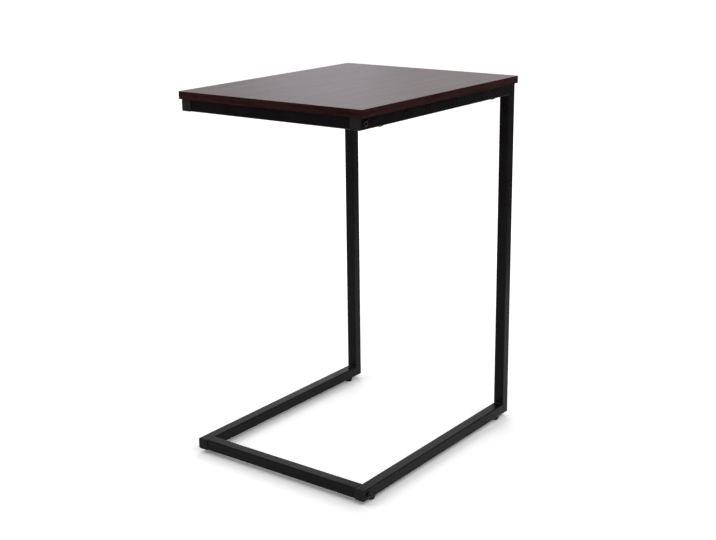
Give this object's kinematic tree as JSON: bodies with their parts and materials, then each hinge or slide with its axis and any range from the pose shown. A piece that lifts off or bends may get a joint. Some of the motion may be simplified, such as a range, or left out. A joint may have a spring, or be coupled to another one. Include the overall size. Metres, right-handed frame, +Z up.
{
  "type": "c shaped side table",
  "caption": "C-shaped side table: a dark laminated board on a black square-tube frame with two uprights at the back, an open-backed base and levelling feet.",
  "frame": {"origin": "on the floor, under the middle of the board", "axes": "+Z up; X along the crossbars; -Y towards the open side of the C, with the uprights at +Y"},
  "size_m": [0.385, 0.475, 0.658],
  "materials": {
    "board_core": "raw particle board",
    "board_backer": "matt dark balancing sheet",
    "espresso_laminate": "satin espresso wood-grain laminate",
    "espresso_edge": "satin espresso edge strip",
    "frame_powder": "fine-textured black powder coat",
    "weld_powder": "black powder coat over a weld bead",
    "cap_plastic": "moulded black polyethylene",
    "pad_plastic": "moulded black nylon",
    "black_screws": "black zinc plate",
    "zinc_steel": "bright zinc plate"
  },
  "bodies": {
    "table": {"tabletop_core": "board_core", "tabletop_backer": "board_backer", "tabletop_laminate": "espresso_laminate", "tabletop_edge_band": "espresso_edge", "left_top_rail": "frame_powder", "left_upright": "frame_powder", "left_base_rail": "frame_powder", "left_corner_welds": "weld_powder", "right_top_rail": "frame_powder", "right_upright": "frame_powder", "right_base_rail": "frame_powder", "right_corner_welds": "weld_powder", "top_crossbar": "frame_powder", "top_crossbar_plugs": "zinc_steel", "top_crossbar_bolts": "black_screws", "base_crossbar": "frame_powder", "base_crossbar_plugs": "zinc_steel", "base_crossbar_bolts": "black_screws", "left_top_end_cap": "cap_plastic", "left_base_end_cap": "cap_plastic", "right_top_end_cap": "cap_plastic", "right_base_end_cap": "cap_plastic", "tabletop_screws": "black_screws", "foot_insert_nuts": "zinc_steel"},
    "front_left_stud": {"front_left_foot_stud": "zinc_steel"},
    "front_left_pad": {"front_left_foot_pad": "pad_plastic"},
    "front_right_stud": {"front_right_foot_stud": "zinc_steel"},
    "front_right_pad": {"front_right_foot_pad": "pad_plastic"},
    "rear_left_stud": {"rear_left_foot_stud": "zinc_steel"},
    "rear_left_pad": {"rear_left_foot_pad": "pad_plastic"},
    "rear_right_stud": {"rear_right_foot_stud": "zinc_steel"},
    "rear_right_pad": {"rear_right_foot_pad": "pad_plastic"}
  },
  "joints": [
    {"name": "front_left_foot_travel", "type": "slide", "parent": "table", "child": "front_left_stud", "axis": [0, 0, -1], "range_m": [0, 0.008]},
    {"name": "front_left_foot_turn", "type": "hinge", "parent": "front_left_stud", "child": "front_left_pad", "pos_m": [-0.1765, -0.2035, 0], "axis": [0, 0, -1], "range_deg": [0, 2880]},
    {"name": "front_right_foot_travel", "type": "slide", "parent": "table", "child": "front_right_stud", "axis": [0, 0, -1], "range_m": [0, 0.008]},
    {"name": "front_right_foot_turn", "type": "hinge", "parent": "front_right_stud", "child": "front_right_pad", "pos_m": [0.1765, -0.2035, 0], "axis": [0, 0, -1], "range_deg": [0, 2880]},
    {"name": "rear_left_foot_travel", "type": "slide", "parent": "table", "child": "rear_left_stud", "axis": [0, 0, -1], "range_m": [0, 0.008]},
    {"name": "rear_left_foot_turn", "type": "hinge", "parent": "rear_left_stud", "child": "rear_left_pad", "pos_m": [-0.1765, 0.2035, 0], "axis": [0, 0, -1], "range_deg": [0, 2880]},
    {"name": "rear_right_foot_travel", "type": "slide", "parent": "table", "child": "rear_right_stud", "axis": [0, 0, -1], "range_m": [0, 0.008]},
    {"name": "rear_right_foot_turn", "type": "hinge", "parent": "rear_right_stud", "child": "rear_right_pad", "pos_m": [0.1765, 0.2035, 0], "axis": [0, 0, -1], "range_deg": [0, 2880]}
  ],
  "couplings": [
    {"joint": "front_left_foot_turn", "follows": "front_left_foot_travel", "rad_per_m": 6283.2},
    {"joint": "front_right_foot_turn", "follows": "front_right_foot_travel", "rad_per_m": 6283.2},
    {"joint": "rear_left_foot_turn", "follows": "rear_left_foot_travel", "rad_per_m": 6283.2},
    {"joint": "rear_right_foot_turn", "follows": "rear_right_foot_travel", "rad_per_m": 6283.2}
  ]
}
